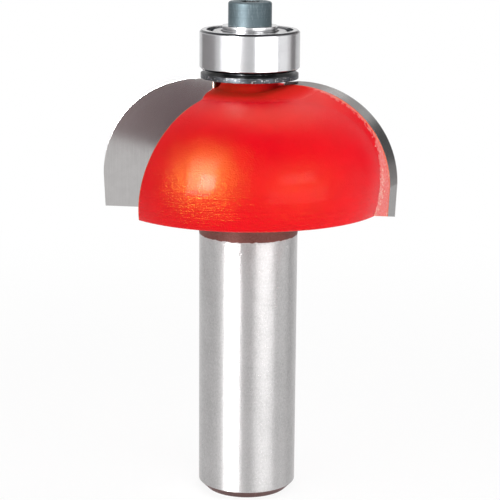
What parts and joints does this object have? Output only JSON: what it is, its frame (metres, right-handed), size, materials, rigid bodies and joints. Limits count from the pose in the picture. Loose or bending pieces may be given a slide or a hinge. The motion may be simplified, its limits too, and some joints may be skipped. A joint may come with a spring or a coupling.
{
  "type": "router bit",
  "caption": "Two-flute cove router bit with brazed carbide tips, a plain round shank and a pilot ball bearing held on top by a socket screw.",
  "frame": {"origin": "centre of the flat end face of the shank, on which the bit stands", "axes": "+Z along the bit's axis from the shank to the bearing; the two cutting edges lie on the X axis, and the edge at +X cuts towards +Y"},
  "size_m": [0.0382, 0.0356, 0.064],
  "materials": {
    "coated_tool_steel": "fine grained red coat on the head, bare ground steel on the shank",
    "tungsten_carbide": "ground",
    "silver_braze": "satin",
    "bearing_steel": "polished",
    "pressed_steel": "satin",
    "shield_steel": "satin",
    "blued_steel": "satin, blue-black",
    "zinc_plated_steel": "bright",
    "black_oxide_steel": "satin, blue-black"
  },
  "bodies": {
    "bit": {"bit_body": "coated_tool_steel", "carbide_tip_1": "tungsten_carbide", "carbide_tip_2": "tungsten_carbide", "braze_seam_1": "silver_braze", "braze_seam_2": "silver_braze", "bearing_inner_ring": "bearing_steel", "shield_washer": "blued_steel", "clamp_washer": "zinc_plated_steel", "cap_screw": "black_oxide_steel"},
    "outer_ring": {"bearing_outer_ring": "bearing_steel", "bearing_shield_upper": "shield_steel", "bearing_shield_lower": "shield_steel", "snap_ring_upper": "pressed_steel", "snap_ring_lower": "pressed_steel"},
    "ball_set": {"bearing_ball_1": "bearing_steel", "bearing_ball_2": "bearing_steel", "bearing_ball_3": "bearing_steel", "bearing_ball_4": "bearing_steel", "bearing_ball_5": "bearing_steel", "bearing_ball_6": "bearing_steel", "bearing_ball_7": "bearing_steel", "ball_cage_upper": "pressed_steel", "ball_cage_lower": "pressed_steel"}
  },
  "joints": [
    {"name": "outer_ring_turn", "type": "hinge", "parent": "bit", "child": "outer_ring", "pos_m": [0, 0, 0.05799], "axis": [0, 0, 1], "continuous": true},
    {"name": "ball_set_turn", "type": "hinge", "parent": "bit", "child": "ball_set", "pos_m": [0, 0, 0.05799], "axis": [0, 0, 1], "continuous": true}
  ],
  "couplings": [
    {"joint": "ball_set_turn", "follows": "outer_ring_turn", "ratio": 0.6364}
  ]
}
